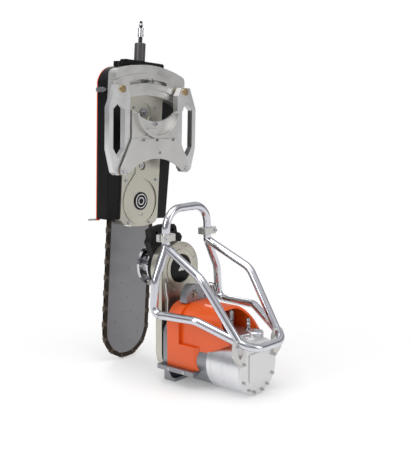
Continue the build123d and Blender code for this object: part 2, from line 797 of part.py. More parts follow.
with BuildPart() as inner_flange:
    with BuildSketch(front_plane(flange_inner_y, 0, hub_z)):
        Circle(flange_inner_r)
    extrude(amount=5)
    with BuildSketch(front_plane(flange_inner_y - 5, 0, hub_z)):
        Circle(flange_inner_r)
        Circle(flange_inner_r - 5, mode=Mode.SUBTRACT)
    extrude(amount=3)
    with BuildSketch(front_plane(flange_inner_y, 0, hub_z)):
        Circle(30)
    extrude(amount=flange_inner_y - boss_back_y - 1)
    with BuildSketch(front_plane(flange_inner_y, 0, hub_z)):
        Circle(spindle_r)
    extrude(amount=60, mode=Mode.SUBTRACT)
save(inner_flange, "inner_flange")

flange_holes = 6
flange_hole_circle_r = 60.0
flange_hole_r = 4.2
with BuildPart() as outer_flange:
    with BuildSketch(front_plane(flange_outer_y, 0, hub_z)):
        Circle(flange_outer_r)
    extrude(amount=6)
    with BuildSketch(front_plane(flange_outer_y - 6, 0, hub_z)):
        Circle(flange_outer_r)
        Circle(flange_outer_r - 5, mode=Mode.SUBTRACT)
    extrude(amount=4)
    with BuildSketch(front_plane(flange_outer_y, 0, hub_z)):
        Circle(40)
    extrude(amount=flange_outer_y - flange_inner_y)
    with BuildSketch(front_plane(flange_outer_y, 0, hub_z)):
        Circle(spindle_r)
        with PolarLocations(flange_hole_circle_r, flange_holes):
            Circle(flange_hole_r)
    extrude(amount=60, mode=Mode.SUBTRACT)
save(outer_flange, "outer_flange")

with BuildPart() as guard_holder:
    with BuildSketch(front_plane(boss_back_y - 2, 0, hub_z)):
        Circle(boss_r + 14)
        Polygon((-58, 30), (-82, 84), (-74, 98), (-77, 122), (-50, 129), (-20, 133), (30, 131), (38, 122),
                (42, 104), (56, 99), (65, 86), (58, 72), (54, 30), align=None)
        Circle(boss_r + run_clearance, mode=Mode.SUBTRACT)
        with Locations((-52, 112), (20, 114)):
            Circle(5, mode=Mode.SUBTRACT)
    extrude(amount=boss_back_y - 2 - hub_back_y - gap)
save(guard_holder, "guard_holder")

# ================================================================ CHAIN CUTTING HEAD
# ---------------------------------------------------------------- guard
def guard_outline(y, inset=0.0, bottom=guard_bottom_v):
    """Face of the guard: sides that widen upwards, round shoulders and a low arched top."""
    low = guard_half_w_bottom - inset
    wide = guard_half_w_top - inset
    crown = guard_crown_v - inset
    with BuildSketch(head_plane(y)) as face:
        with BuildLine():
            Polyline((-wide, guard_shoulder_v), (-low, bottom), (low, bottom), (wide, guard_shoulder_v))
            ThreePointArc((wide, guard_shoulder_v), (0.86 * wide, guard_shoulder_v + 38),
                          (0.6 * wide, crown - 7))
            ThreePointArc((0.6 * wide, crown - 7), (0, crown), (-0.6 * wide, crown - 7))
            ThreePointArc((-0.6 * wide, crown - 7), (-0.86 * wide, guard_shoulder_v + 38),
                          (-wide, guard_shoulder_v))
        make_face()
    return face.sketch


post_y = (guard_front_y + guard_back_y) / 2
wing_shank_r = 3.0
wing_v = 775.0
side_slope = (guard_half_w_top - guard_half_w_bottom) / (guard_shoulder_v - guard_bottom_v)
wing_u = -(guard_half_w_bottom + side_slope * (wing_v - guard_bottom_v)) - 2 * gap
wing_base = head_plane(post_y, wing_v, wing_u)
wing_plane = Plane(origin=wing_base.origin, x_dir=(0, 1, 0), z_dir=-wing_base.x_dir)
with BuildPart() as guard_shell:
    extrude(to_extrude=guard_outline(guard_back_y), amount=guard_back_y - guard_front_y)
    fillet(guard_shell.faces().sort_by(Axis.Y)[0].edges().sort_by(Axis.Z)[1:], 8)
    extrude(to_extrude=guard_outline(guard_back_y, guard_wall, guard_bottom_v - 1),
            amount=guard_back_y - guard_front_y - guard_wall, mode=Mode.SUBTRACT)
    with BuildSketch(head_plane(guard_front_y + guard_wall + 1)):
        with Locations((0, (case_bottom_v + case_top_v) / 2)):
            Rectangle(2 * (case_half_w + gap), case_top_v - case_bottom_v + 2 * gap)
    extrude(amount=guard_wall + 2, mode=Mode.SUBTRACT)
    with BuildSketch(wing_plane):
        Circle(wing_shank_r + run_clearance)
    extrude(amount=-10, mode=Mode.SUBTRACT)
save(guard_shell, "guard_shell")

tab_length = 48.0
bar_boss_u = 72.0
bar_boss_v = 368.0
with BuildPart() as guard_back:
    extrude(to_extrude=guard_outline(guard_back_y + back_plate_thickness), amount=back_plate_thickness)
    with BuildSketch(head_plane(guard_back_y + back_plate_thickness)):
        with Locations((-guard_half_w_bottom - tab_length / 2 + 14, guard_bottom_v - 3)):
            Rectangle(tab_length, 6)
    extrude(amount=back_plate_thickness)
    with BuildSketch(head_plane(guard_back_y, bar_boss_v)):
        with Locations((-bar_boss_u, 0), (bar_boss_u, 0)):
            Circle(8)
    extrude(amount=guard_back_y - bar_y - bar_thickness / 2)
save(guard_back, "guard_back")

# aluminium front frame: an arch whose groove guides the bracket's band
clamp_tilt = 2.1
clamp_shank_r = 4.0
clamp_plane = leaning_plane(band_back_y, head_lean, sprocket_v + band_mid_r * cos(radians(clamp_tilt)),
                            -band_mid_r * sin(radians(clamp_tilt)))
frame_back_y = guard_front_y - gap
with BuildPart() as front_frame:
    with BuildSketch(head_plane(frame_back_y, sprocket_v)):
        Circle(arch_outer_r)
        Circle(arch_inner_r, mode=Mode.SUBTRACT)
        Rectangle(2 * frame_half_w, 2 * arch_outer_r, mode=Mode.INTERSECT)
        with Locations((0, -arch_outer_r / 2 + 150)):
            Rectangle(4 * frame_half_w, arch_outer_r + 300, mode=Mode.SUBTRACT)
    extrude(amount=frame_back_y - frame_front_y)
    fillet(front_frame.edges().filter_by(Axis.Y).group_by(Axis.Z)[-2:], 18)
    with BuildSketch(head_plane(band_back_y, sprocket_v)):
        Circle(band_outer_r + gap)
        Circle(band_inner_r - gap, mode=Mode.SUBTRACT)
    extrude(amount=60, mode=Mode.SUBTRACT)
    with BuildSketch(head_plane(frame_back_y, case_top_v / 2)):
        Rectangle(2 * (case_half_w + gap), case_top_v + 2 * gap)
    extrude(amount=frame_back_y - case_front_y + gap, mode=Mode.SUBTRACT)
    with BuildSketch(clamp_plane):
        Circle(clamp_shank_r + run_clearance)
    extrude(amount=-9, mode=Mode.SUBTRACT)
save(front_frame, "front_frame")

# ---------------------------------------------------------------- gear case of the head
case_corner_r = 26.0
case_belly = 8.0             # how far the bottom edge bulges
relief_height = 3.0
relief_r = 76.0
relief_neck_half_w = 28.0
train_step_1 = gear_module * (head_gear_teeth + head_idler_teeth) / 2
train_step_2 = gear_module * head_idler_teeth
train_v = (sprocket_v, sprocket_v + train_step_1, sprocket_v + train_step_1 + train_step_2,
           sprocket_v + 2 * train_step_1 + train_step_2)
head_shaft_r = 12.0
head_axle_r = 8.0
head_gear_y = case_front_y + case_wall + 18.0


def case_outline(y, inset=0.0):
    """Long plate with two round lower corners."""
    w = case_half_w - inset
    low = case_bottom_v + inset
    high = case_top_v - inset
    corner = case_corner_r - inset
    with BuildSketch(head_plane(y)) as outline:
        with BuildLine():
            heel = low + case_belly
            edge = w - corner
            Polyline((-w, heel + corner), (-w, high), (w, high), (w, heel + corner))
            RadiusArc((w, heel + corner), (edge, heel), corner)
            ThreePointArc((edge, heel), (0, low), (-edge, heel))
            RadiusArc((-edge, heel), (-w, heel + corner), corner)
        make_face()
    return outline.sketch


with BuildPart() as gear_case:
    extrude(to_extrude=case_outline(case_back_y), amount=case_back_y - case_front_y)
    extrude(to_extrude=case_outline(case_back_y - case_wall, case_wall),
            amount=case_back_y - case_front_y - 2 * case_wall, mode=Mode.SUBTRACT)
    with BuildSketch(head_plane(case_front_y, sprocket_v)):
        Circle(relief_r)
        with Locations((0, 110)):
            Rectangle(2 * relief_neck_half_w, 220)
        Polygon((-relief_r + 8, 40), (-relief_neck_half_w, 92), (relief_neck_half_w, 92), (relief_r - 8, 40),
                align=None)
    extrude(amount=relief_height)
    # crescent beside the round relief and the round recess about the drive socket
    with BuildSketch(head_plane(case_front_y - relief_height, sprocket_v)):
        Circle(relief_r - 2)
        with Locations((-6, -4)):
            Circle(relief_r - 4, mode=Mode.SUBTRACT)
        with Locations((relief_r + 8, 0)):
            Rectangle(2 * relief_r, 2 * relief_r, mode=Mode.INTERSECT)
    extrude(amount=-relief_height - 2, mode=Mode.SUBTRACT)
    with BuildSketch(head_plane(case_front_y, train_v[3])):
        Circle(31)
    extrude(amount=-3, mode=Mode.SUBTRACT)
    # hollow around the middle bolt, key slot under the cap, holes for the two outer shafts
    with BuildSketch(head_plane(case_front_y - relief_height, bolt_well_v)):
        Circle(15)
    extrude(amount=-6, mode=Mode.SUBTRACT)
    with BuildSketch(head_plane(case_front_y - relief_height, sprocket_v - 45)):
        SlotOverall(24, 4)
        with Locations((10, 1)):
            Circle(3.2)
    extrude(amount=-2.5, mode=Mode.SUBTRACT)
    with BuildSketch(head_plane(case_back_y, train_v[0])):
        Circle(head_shaft_r + run_clearance)
    extrude(amount=60, mode=Mode.SUBTRACT)
    with BuildSketch(head_plane(case_back_y, train_v[3])):
        Circle(head_shaft_r + run_clearance)
    extrude(amount=60, mode=Mode.SUBTRACT)
    for v in train_v[1:3]:
        with BuildSketch(head_plane(case_back_y - case_wall, v)):
            Circle(head_axle_r)
        extrude(amount=case_back_y - case_front_y - 2 * case_wall)
save(gear_case, "gear_case")

case_screw_spots = ((-46, 727), (50, 734), (-66, 491), (70, 496), (-46, 355), (48, 355), (0, bolt_well_v))
with BuildPart() as case_screws:
    for u, v in case_screw_spots:
        raised = relief_height - 6 if u == 0 else 0
        add(socket_bolt(head_plane(case_front_y - raised, v, u), 8.0 if u == 0 else 4.6, 4.5))
save(case_screws, "case_screws")

bullseye_r = 29.5
with BuildPart() as bearing_cap:
    with BuildSketch(head_plane(case_front_y - relief_height, sprocket_v)):
        Circle(bullseye_r)
    extrude(amount=2.6)
    with BuildSketch(head_plane(case_front_y - relief_height - 2.6, sprocket_v)):
        Circle(23.5)
        Circle(20.5, mode=Mode.SUBTRACT)
        Circle(13)
        Circle(9.5, mode=Mode.SUBTRACT)
    extrude(amount=1.0)
save(bearing_cap, "bearing_cap")


def head_gear(teeth, v, turn, bore):
    """One gear of the head's train."""
    with BuildPart() as wheel:
        with BuildSketch(head_plane(head_gear_y, v)):
            with Locations(Rotation(0, 0, turn)):
                Polygon(*gear_outline(teeth, gear_module), align=None)
            if bore:
                Circle(bore, mode=Mode.SUBTRACT)
        extrude(amount=gear_width)
    return wheel.part


# from the sprocket up: 30, 33, 33, 30 teeth; an odd wheel with a gap below shows a tooth above
with BuildPart() as head_idler_lower:
    add(head_gear(head_idler_teeth, train_v[1], lower_idler_turn, head_axle_r + run_clearance))
save(head_idler_lower, "head_idler_lower")

with BuildPart() as head_idler_upper:
    add(head_gear(head_idler_teeth, train_v[2], upper_idler_turn, head_axle_r + run_clearance))
save(head_idler_upper, "head_idler_upper")

input_disc_r = 13.5
with BuildPart() as head_input:
    add(head_gear(head_gear_teeth, train_v[3], input_turn, 0))
    with BuildSketch(head_plane(case_back_y - 1, train_v[3])):
        Circle(head_shaft_r)
    extrude(amount=case_back_y - 1 - case_front_y)
    with BuildSketch(head_plane(case_front_y - gap, train_v[3])):
        Circle(input_disc_r)
    extrude(amount=3)
    with BuildSketch(head_plane(case_front_y, train_v[3])):
        Circle(head_shaft_r - 1)
    extrude(amount=gap)
    with BuildSketch(head_plane(case_front_y - gap - 3, train_v[3])):
        Circle(7)
        RegularPolygon(3.4, 6, mode=Mode.SUBTRACT)
    extrude(amount=5)
save(head_input, "head_input")

# ---------------------------------------------------------------- sprocket, bar and nose wheel
sprocket_tip_r = bar_half_w - 0.8
with BuildPart() as drive_sprocket:
    add(head_gear(head_gear_teeth, train_v[0], sprocket_gear_turn, 0))
    with BuildSketch(head_plane(bar_y + bar_thickness / 2 + 6, sprocket_v)):
        Circle(head_shaft_r)
    extrude(amount=bar_y + bar_thickness / 2 + 6 - case_front_y - 2)
    with BuildSketch(head_plane(bar_y + 1.8, sprocket_v)):
        Polygon(*gear_outline(sprocket_teeth, 2 * (sprocket_tip_r - 4) / sprocket_teeth, 4 * sprocket_teeth
                              / (2 * (sprocket_tip_r - 4)), 1.1), align=None)
        with PolarLocations(50, 6):
            Circle(13, mode=Mode.SUBTRACT)
    extrude(amount=3.6)
save(drive_sprocket, "drive_sprocket")

nose_slot = 3.0
nose_wheel_r = bar_half_w - 4.0
nose_hub_r = 20.0
bar_tail_v = 392.0
with BuildPart() as guide_bar:
    with BuildSketch(head_plane(bar_y + bar_thickness / 2)):
        Circle(bar_half_w)
        with Locations((0, bar_tail_v / 2)):
            Rectangle(2 * bar_half_w, bar_tail_v)
        with Locations((0, sprocket_v)):
            Circle(sprocket_tip_r + 2, mode=Mode.SUBTRACT)
    extrude(amount=bar_thickness)
    # round pocket of the nose wheel between the bar's side plates
    with BuildSketch(head_plane(bar_y + nose_slot / 2)):
        Circle(nose_wheel_r + gap)
        Circle(nose_hub_r, mode=Mode.SUBTRACT)
    extrude(amount=nose_slot, mode=Mode.SUBTRACT)
save(guide_bar, "guide_bar")

with BuildPart() as nose_sprocket:
    with BuildSketch(head_plane(bar_y + nose_slot / 2 - 0.2)):
        Polygon(*gear_outline(sprocket_teeth, 2 * (nose_wheel_r - 4) / sprocket_teeth,
                              4 * sprocket_teeth / (2 * (nose_wheel_r - 4)), 1.1), align=None)
        Circle(nose_hub_r + run_clearance, mode=Mode.SUBTRACT)
    extrude(amount=nose_slot - 0.4)
save(nose_sprocket, "nose_sprocket")


# ---------------------------------------------------------------- chain
def chain_point(s):
    """Pivot s pitches along the chain: up the right side, over the sprocket, down and round the nose."""
    straight = (chain_links_total - sprocket_teeth) / 2
    half_wrap = sprocket_teeth / 2
    s = s % chain_links_total
    if s < straight:
        return Vector(chain_r, s * chain_pitch)
    s -= straight
    if s < half_wrap:
        turn = 2 * pi * s / sprocket_teeth
        return Vector(chain_r * cos(turn), sprocket_v + chain_r * sin(turn))
    s -= half_wrap
    if s < straight:
        return Vector(-chain_r, sprocket_v - s * chain_pitch)
    turn = pi + 2 * pi * (s - straight) / sprocket_teeth
    return Vector(chain_r * cos(turn), chain_r * sin(turn))


def link_place(k):
    """Middle of link k, its direction and the distance between its two pivots."""
    first = chain_point(k + 0.25)
    second = chain_point(k + 1.25)
    run = second - first
    return Location(tuple((first + second) / 2), (0, 0, degrees(atan2(run.Y, run.X)))), run.length


inner_half = cutter_thickness / 2
strap_gap = 0.1
with BuildPart() as chain_tie_links:
    for k in range(0, chain_links_total, 2):
        place, length = link_place(k)
        for y in (bar_y - inner_half - strap_gap, bar_y + inner_half + strap_gap + chain_plate):
            with BuildSketch(head_plane(y)):
                with Locations(place):
                    SlotCenterToCenter(length, 2 * chain_half_h)
            extrude(amount=chain_plate)
        with BuildSketch(head_plane(bar_y + inner_half + strap_gap)):
            with Locations(place):
                with Locations((-length / 2, 0), (length / 2, 0)):
                    Circle(rivet_r)
        extrude(amount=cutter_thickness + 2 * strap_gap)
save(chain_tie_links, "chain_tie_links")

waist = chain_pitch - 2 * chain_half_h - 0.8
segment_foot = chain_half_h + 0.2
with BuildPart() as chain_cutters:
    for k in range(1, chain_links_total, 2):
        place, length = link_place(k)
        with BuildSketch(head_plane(bar_y + inner_half)):
            with Locations(place):
                SlotCenterToCenter(length, 2 * chain_half_h - 1)
                with Locations((-length / 2, 0), (length / 2, 0)):
                    Circle(rivet_r + run_clearance, mode=Mode.SUBTRACT)
        extrude(amount=cutter_thickness)
        with BuildSketch(head_plane(bar_y + segment_width / 2)):
            with Locations(place):
                with Locations((0, -chain_half_h + 2)):
                    Rectangle(waist, 5)
                with Locations((0, -(segment_height + segment_foot) / 2)):
                    Rectangle(segment_length, segment_height - segment_foot)
        extrude(amount=segment_width)
save(chain_cutters, "chain_cutters")

# ---------------------------------------------------------------- top of the head
cap_half_w = 104.0
cap_depth = 36.0
cap_top_v = 880.0
cap_step_v = 870.0            # lower step at the left end
cap_step_w = 34.0
with BuildPart() as top_cap:
    with BuildSketch(up_plane(guard_crown_v - 14, post_y)):
        RectangleRounded(2 * cap_half_w, cap_depth, 12)
    extrude(amount=cap_top_v - guard_crown_v + 14)
    fillet(top_cap.edges().group_by(Axis.Z)[-1], 6)
    with BuildSketch(up_plane(cap_step_v, post_y, -cap_half_w)):
        Rectangle(2 * cap_step_w, 2 * cap_depth)
    extrude(amount=40, mode=Mode.SUBTRACT)
    extrude(to_extrude=guard_outline(guard_back_y + 20), amount=100, mode=Mode.SUBTRACT)
save(top_cap, "top_cap")

with BuildPart() as hose_post:
    with BuildSketch(up_plane(cap_top_v, post_y)):
        Circle(18)
    extrude(amount=58)
    fillet(hose_post.edges().filter_by(GeomType.CIRCLE).sort_by(Axis.Z)[-1], 3)
    with BuildSketch(up_plane(cap_top_v + 58, post_y)):
        Circle(6.5)
    extrude(amount=20)
save(hose_post, "hose_post")

with BuildPart() as hose_nipple:
    for low, high, r in ((78, 88, 9.5), (88, 100, 8.6), (100, 106, 9.5), (106, 113, 5.0), (113, 117, 6.6),
                         (117, 128, 4.6)):
        with BuildSketch(up_plane(cap_top_v + low, post_y)):
            Circle(r)
        extrude(amount=high - low)
save(hose_nipple, "hose_nipple")

with BuildPart() as wing_screw:
    with BuildSketch(wing_plane):
        Circle(9)
    extrude(amount=12)
    with BuildSketch(wing_plane.offset(3)):
        with Locations((-12, 0), (12, 0)):
            Ellipse(10, 8)
    extrude(amount=7)
    with BuildSketch(wing_plane):
        Circle(wing_shank_r)
    extrude(amount=-12)
save(wing_screw, "wing_screw")

# ---------------------------------------------------------------- bracket
slot_half_angle = 11.7
slot_width = 11.4
pin_shank_r = 6.0
with BuildPart() as arc_band:
    with BuildSketch(bracket_plane(band_back_y - gap)):
        Circle(band_outer_r)
        Circle(band_inner_r, mode=Mode.SUBTRACT)
        with Locations((0, band_mid_r)):
            Rectangle(2 * band_half_w, 160, mode=Mode.INTERSECT)
        with BuildLine():
            upper = CenterArc((0, 0), band_mid_r + slot_width / 2, 90 - slot_half_angle, 2 * slot_half_angle)
            lower = CenterArc((0, 0), band_mid_r - slot_width / 2, 90 - slot_half_angle, 2 * slot_half_angle)
            TangentArc(upper @ 1, lower @ 1, tangent=upper % 1)
            TangentArc(upper @ 0, lower @ 0, tangent=-(upper % 0))
        make_face(mode=Mode.SUBTRACT)
        with Locations((-pin_across, pin_up), (pin_across, pin_up)):
            Circle(pin_shank_r + run_clearance, mode=Mode.SUBTRACT)
    extrude(amount=band_back_y - gap - band_front_y)
save(arc_band, "arc_band")

clamp_head_plane = clamp_plane.offset(band_back_y - band_front_y + gap)
with BuildPart() as clamp_screw:
    with BuildSketch(clamp_head_plane):
        Circle(8.5)
    extrude(amount=12)
    with BuildSketch(clamp_head_plane.offset(12)):
        RegularPolygon(4, 6)
    extrude(amount=-5, mode=Mode.SUBTRACT)
    with BuildSketch(clamp_head_plane):
        Circle(clamp_shank_r)
    extrude(amount=-(band_back_y - band_front_y + gap + 8))
save(clamp_screw, "clamp_screw")

lug_r = 13.0
screw_shank_r = 4.5
for side_name, sign in (("left", -1), ("right", 1)):
    outline = [(124, 371), (166, 371), (196, 302), (196, 174), (176, 103), (164, 94), (137, 94), (126, 108),
               (108, 186), (108, 344)]
    opening = [(152, 321), (179, 297), (179, 176), (157, 144), (130, 176), (130, 299)]
    with BuildPart() as bracket_handle:
        with BuildSketch(bracket_plane(handle_back_y)):
            Polygon(*[(sign * x, z) for x, z in outline], align=None)
            Polygon(*[(sign * x, z) for x, z in opening], align=None, mode=Mode.SUBTRACT)
            with Locations((sign * pin_across, pin_up)):
                Circle(pin_shank_r + run_clearance, mode=Mode.SUBTRACT)
            with Locations((sign * pin_across, lug_up)):
                Circle(screw_shank_r + run_clearance, mode=Mode.SUBTRACT)
        extrude(amount=handle_back_y - handle_front_y)
    save(bracket_handle, "handle_" + side_name)

plate_front = handle_front_y - 12.0
plate_back = handle_front_y - 5.0
plate_top = cradle_up - cradle_r - cradle_wall - 1.0
with BuildPart() as bracket_plate_part:
    with BuildSketch(bracket_plane(plate_back)):
        with BuildLine():
            Polyline((-124, 98), (-155, 114), (-112, plate_top - 12), (-106, plate_top), (106, plate_top),
                     (112, plate_top - 12), (155, 114), (124, 98))
            ThreePointArc((124, 98), (0, 142), (-124, 98))
        make_face()
        with Locations((-pin_across, lug_up), (pin_across, lug_up)):
            Circle(lug_r)
        for x, w in ((-66, 24), (0, 12), (74, 14)):
            with Locations((x, plate_top)):
                Rectangle(w, 16, mode=Mode.SUBTRACT)
        with Locations((14, 160)):
            Circle(5, mode=Mode.SUBTRACT)
        with Locations((-pin_across, lug_up), (pin_across, lug_up)):
            Circle(screw_shank_r + run_clearance, mode=Mode.SUBTRACT)
    extrude(amount=plate_back - plate_front)
save(bracket_plate_part, "bracket_plate")

cradle_half_w = 104.0
cradle_back = handle_front_y + 4.0
with BuildPart() as cradle:
    with BuildSketch(bracket_plane(cradle_back)):
        with BuildLine():
            Polyline((-cradle_half_w, 296), (-cradle_half_w, plate_top - 26), (cradle_half_w, plate_top - 26),
                     (cradle_half_w, 296), (88, 290))
            ThreePointArc((88, 290), (0, 260), (-88, 290))
            Line((-88, 290), (-cradle_half_w, 296))
        make_face()
        with Locations((96, 280)):
            Circle(3.5, mode=Mode.SUBTRACT)
    extrude(amount=cradle_back - plate_back)
    with BuildSketch(bracket_plane(plate_back)):
        with Locations((0, cradle_up)):
            Circle(cradle_r + cradle_wall)
            Circle(cradle_r, mode=Mode.SUBTRACT)
        with Locations((0, cradle_up - 20 + 150)):
            Rectangle(400, 300, mode=Mode.SUBTRACT)
    extrude(amount=plate_back - plate_front + 10)
    with BuildSketch(bracket_plane(plate_back)):
        with Locations((-20, cradle_up - cradle_r + 10)):
            Rectangle(46, 24)
    extrude(amount=9)
save(cradle, "cradle")

with BuildPart() as brass_fittings:
    for sign in (-1, 1):
        for y, r, thickness in ((band_front_y, 12.5, band_front_y - handle_back_y),
                                (handle_front_y, 11.5, 5.0),
                                (band_back_y - 2, pin_shank_r, band_back_y - 2 - handle_front_y)):
            with BuildSketch(bracket_plane(y)):
                with Locations((sign * pin_across, pin_up)):
                    Circle(r)
            extrude(amount=thickness)
        with BuildSketch(bracket_plane(handle_front_y)):
            with Locations((sign * pin_across, lug_up)):
                Circle(9)
                Circle(screw_shank_r + run_clearance, mode=Mode.SUBTRACT)
        extrude(amount=handle_front_y - plate_back)
save(brass_fittings, "brass_fittings")

with BuildPart() as bracket_screws:
    for sign in (-1, 1):
        for y, r, thickness in ((handle_back_y - 4, screw_shank_r, handle_back_y - 4 - plate_front),
                                (plate_front, 8.0, 4.0)):
            with BuildSketch(bracket_plane(y)):
                with Locations((sign * pin_across, lug_up)):
                    Circle(r)
            extrude(amount=thickness)
    with BuildSketch(bracket_plane(plate_back)):
        with Locations((-6, cradle_up - cradle_r + 36)):
            Circle(6.5)
            RegularPolygon(3.2, 6, mode=Mode.SUBTRACT)
    extrude(amount=10)
save(bracket_screws, "bracket_screws")
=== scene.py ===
# %% [markdown]
# # A concrete chain saw in two parts
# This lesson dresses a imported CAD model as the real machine: an electric drive unit in a polished
# tube frame, and the chain cutting head that stands behind it. The CAD model is the fixed frame.
# Pieces whose edges and surfaces matter to the eye get a finer mesh here, worked out with numpy,
# and every surface gets a material that starts from what the real one is.

# %% Load the fixed frame
import json
import math

import bmesh
import bpy
import numpy as np
from mathutils import Matrix, Vector


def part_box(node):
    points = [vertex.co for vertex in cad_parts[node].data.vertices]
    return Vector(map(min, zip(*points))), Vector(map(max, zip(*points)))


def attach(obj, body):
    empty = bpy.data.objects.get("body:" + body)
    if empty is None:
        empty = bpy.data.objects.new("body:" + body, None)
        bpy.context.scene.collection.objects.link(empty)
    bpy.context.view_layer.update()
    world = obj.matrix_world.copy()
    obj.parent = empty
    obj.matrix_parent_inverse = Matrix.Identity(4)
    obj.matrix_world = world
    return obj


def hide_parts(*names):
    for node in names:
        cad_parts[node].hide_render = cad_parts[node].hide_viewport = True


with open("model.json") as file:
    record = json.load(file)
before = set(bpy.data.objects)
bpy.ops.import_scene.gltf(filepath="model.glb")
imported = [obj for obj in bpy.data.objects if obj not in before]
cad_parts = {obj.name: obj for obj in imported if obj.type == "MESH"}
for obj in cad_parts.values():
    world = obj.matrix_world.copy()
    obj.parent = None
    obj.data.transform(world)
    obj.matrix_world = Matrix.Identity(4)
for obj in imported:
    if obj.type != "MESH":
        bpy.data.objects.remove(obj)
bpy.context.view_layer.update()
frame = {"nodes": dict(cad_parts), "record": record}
nodes = frame["nodes"]

# %% [markdown]
# ## Camera, light and floor
# A machine like this is shown in a white studio: a wide soft light overhead, a second one from
# the front left, and dark cards out of view, because polished tube only looks like metal when it
# has something dark to mirror.

# %% Camera at the viewing height of a person who kneels in front of the machine
SCENE = bpy.context.scene
SCENE.view_settings.view_transform = "Standard"


def direction(azimuth, elevation):
    """Unit vector: azimuth from +Y towards +X, elevation above the floor, in degrees."""
    a = math.radians(azimuth)
    e = math.radians(elevation)
    return np.array([math.sin(a) * math.cos(e), math.cos(a) * math.cos(e), math.sin(e)])


def aimed(azimuth, elevation, roll):
    """Rotation whose -Z axis looks along the direction, turned by roll about it."""
    forward = direction(azimuth, elevation)
    right = np.array([math.cos(math.radians(azimuth)), -math.sin(math.radians(azimuth)), 0.0])
    up = np.cross(right, forward)
    r = math.radians(roll)
    return np.column_stack([right * math.cos(r) + up * math.sin(r),
                            up * math.cos(r) - right * math.sin(r), -forward])


FOCAL_MM = 70.2
SENSOR_MM = 36.0
FARTHEST = 60.0               # metres, past the far edge of the floor
EYE = (-1.9679, -1.7961, 0.8749)
LOOK_AZIMUTH, LOOK_ELEVATION, LOOK_ROLL = 48.8, -8.5, -0.2
lens_data = bpy.data.cameras.new("studio_camera")
lens_data.lens = FOCAL_MM
lens_data.sensor_width = SENSOR_MM
lens_data.clip_end = FARTHEST
camera = bpy.data.objects.new("studio_camera", lens_data)
SCENE.collection.objects.link(camera)
turned_to = Matrix(aimed(LOOK_AZIMUTH, LOOK_ELEVATION, LOOK_ROLL).tolist()).to_4x4()
camera.matrix_world = Matrix.Translation(EYE) @ turned_to
SCENE.camera = camera
print("camera at", EYE, "metres, lens", FOCAL_MM, "mm")

# %% Colour helper and node helper
def linear(colour):
    """sRGB hex to linear RGBA: the two-piece sRGB curve on each channel."""
    channels = [int(colour[i:i + 2], 16) / 255 for i in (1, 3, 5)]
    curved = (c / 12.92 if c <= 0.04045 else ((c + 0.055) / 1.055) ** 2.4 for c in channels)
    return (*curved, 1.0)


def darker(colour, share):
    """The same colour at a share of its brightness, in linear RGBA."""
    return tuple(share * c for c in linear(colour)[:3]) + (1.0,)


def add(tree, kind, settings=(), **inputs):
    """Adds one shader node: settings are its properties, and inputs are values or links, by socket
    name or, after an underscore, by socket number."""
    node = tree.nodes.new(kind)
    for key, value in dict(settings).items():
        setattr(node, key, value)
    for key, value in inputs.items():
        socket = node.inputs[int(key[1:])] if key[0] == "_" else node.inputs[key.replace("_", " ")]
        if isinstance(value, bpy.types.NodeSocket):
            tree.links.new(value, socket)
        else:
            socket.default_value = value
    return node


def begin(name):
    """New material; returns it with its tree, its shader and the object coordinates."""
    material = bpy.data.materials.new(name)
    material.use_nodes = True
    tree = material.node_tree
    shader = tree.nodes["Principled BSDF"]
    place = add(tree, "ShaderNodeTexCoord").outputs["Object"]
    return material, tree, shader, place


# %% [markdown]
# ## White studio
# Polished tube looks like metal only when it mirrors both light and dark. So the world above is
# white, the sides are grey with darker slices, as cards round a product table would be, and a
# camera ray that misses everything sees plain white.

# %% World
world = bpy.data.worlds.new("white_tent")
SCENE.world = world
world.use_nodes = True
sky = world.node_tree
sky.nodes.clear()


def filled(node, stops, sharp=False):
    """Gives a colour ramp its (position, hex) stops, as steps if sharp; returns its colour."""
    band = node.color_ramp
    band.interpolation = "CONSTANT" if sharp else "LINEAR"
    first, last = band.elements[0], band.elements[1]
    first.position, first.color = stops[0][0], linear(stops[0][1])
    last.position, last.color = stops[-1][0], linear(stops[-1][1])
    for position, colour in stops[1:-1]:
        band.elements.new(position).color = linear(colour)
    return node.outputs["Color"]


# position 0 is straight down and 1 straight up: floor, dark horizon, low cards, white ceiling
TENT_BY_HEIGHT = ((0.0, "#9A9A9E"), (0.46, "#8C8C90"), (0.52, "#5C5C62"), (0.57, "#D8D8DA"),
                  (0.62, "#78787E"), (0.69, "#C4C4C8"), (0.78, "#FFFFFF"), (1.0, "#FFFFFF"))
# position 0 is -X and 1 is +X: white cards with three grey gaps between them
TENT_ACROSS = ((0.0, "#F0F0F0"), (0.16, "#8A8A8E"), (0.28, "#FFFFFF"), (0.45, "#6E6E74"),
               (0.60, "#FFFFFF"), (0.78, "#77777C"), (1.0, "#F0F0F0"))
CARD_DEPTH = 0.75             # how much of the slices across shows
ray = add(sky, "ShaderNodeSeparateXYZ", _0=add(sky, "ShaderNodeTexCoord").outputs["Generated"])
height = add(sky, "ShaderNodeMapRange", _0=ray.outputs["Z"], _1=-1.0, _2=1.0).outputs[0]
across = add(sky, "ShaderNodeMapRange", _0=ray.outputs["X"], _1=-1.0, _2=1.0).outputs[0]
tall = filled(add(sky, "ShaderNodeValToRGB", _0=height), TENT_BY_HEIGHT)
wide = filled(add(sky, "ShaderNodeValToRGB", _0=across), TENT_ACROSS)
cards = add(sky, "ShaderNodeMix", {"data_type": "RGBA", "blend_type": "MULTIPLY"}, _0=CARD_DEPTH,
            _6=tall, _7=wide)
tent = add(sky, "ShaderNodeBackground", Color=cards.outputs[2], Strength=1.0)
white = add(sky, "ShaderNodeBackground", Color=linear("#FFFFFF"), Strength=1.0)
straight = add(sky, "ShaderNodeLightPath").outputs["Is Camera Ray"]
mixed = add(sky, "ShaderNodeMixShader", _0=straight, _1=tent.outputs[0], _2=white.outputs[0])
add(sky, "ShaderNodeOutputWorld", Surface=mixed.outputs[0])
